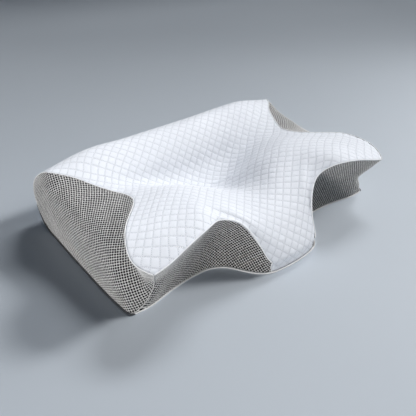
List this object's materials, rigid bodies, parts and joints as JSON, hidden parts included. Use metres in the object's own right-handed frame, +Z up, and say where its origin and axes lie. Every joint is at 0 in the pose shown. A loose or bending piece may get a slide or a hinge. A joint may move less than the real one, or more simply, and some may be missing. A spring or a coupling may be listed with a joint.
{
  "type": "contour neck pillow",
  "caption": "Butterfly-shaped contour foam pillow for neck support: raised back roll, head bowl, side wings and neck lobe, in a quilted and mesh cover with a rear zip.",
  "frame": {"origin": "on the flat underside, midway across, 0.219 m behind the front edge of the base at the neck lobe", "axes": "+X across the pillow to its right wing seen from the front, +Y from the neck lobe to the high back roll, +Z up from the flat underside"},
  "size_m": [0.6146, 0.4372, 0.1457],
  "materials": {
    "foam": "open-cell foam, matte",
    "liner": "thin knitted liner, matte",
    "quilt": "fine knit, quilted in diamonds",
    "wadding": "loose fibre wadding",
    "mesh": "open spacer mesh, pale threads over black",
    "base_fabric": "plain knit, matte",
    "piping": "covered cord",
    "zip_tape": "woven tape",
    "zip_coil": "nylon",
    "zip_metal": "satin",
    "label": "blank woven satin"
  },
  "bodies": {
    "pillow": {"foam_core": "foam", "liner_top": "liner", "liner_base": "liner", "quilted_top_panel": "quilt", "quilt_wadding": "wadding", "left_side_mesh": "mesh", "right_side_mesh": "mesh", "left_front_mesh": "mesh", "right_front_mesh": "mesh", "base_panel": "base_fabric", "base_piping": "piping", "zip_upper_tape": "zip_tape", "zip_lower_tape": "zip_tape", "zip_upper_coil": "zip_coil", "zip_lower_coil": "zip_coil", "zip_top_stop": "zip_metal", "zip_bottom_stop": "zip_metal"},
    "zip_slider_body": {"zip_slider": "zip_metal"},
    "zip_pull": {"zip_pull_tab": "zip_metal"},
    "label": {"care_label": "label"}
  },
  "joints": [
    {"name": "zip_slide", "type": "slide", "parent": "pillow", "child": "zip_slider_body", "axis": [1, 0, 0], "range_m": [-0.44, 0]},
    {"name": "pull_hinge", "type": "hinge", "parent": "zip_slider_body", "child": "zip_pull", "pos_m": [0.221, 0.21186, 0.03841], "axis": [0, 0.4191, 0.908], "range_deg": [0, 170]},
    {"name": "label_flap", "type": "hinge", "parent": "pillow", "child": "label", "pos_m": [0.258, 0.2074, 0.0326], "axis": [1, 0, 0], "range_deg": [-10, 75]}
  ]
}
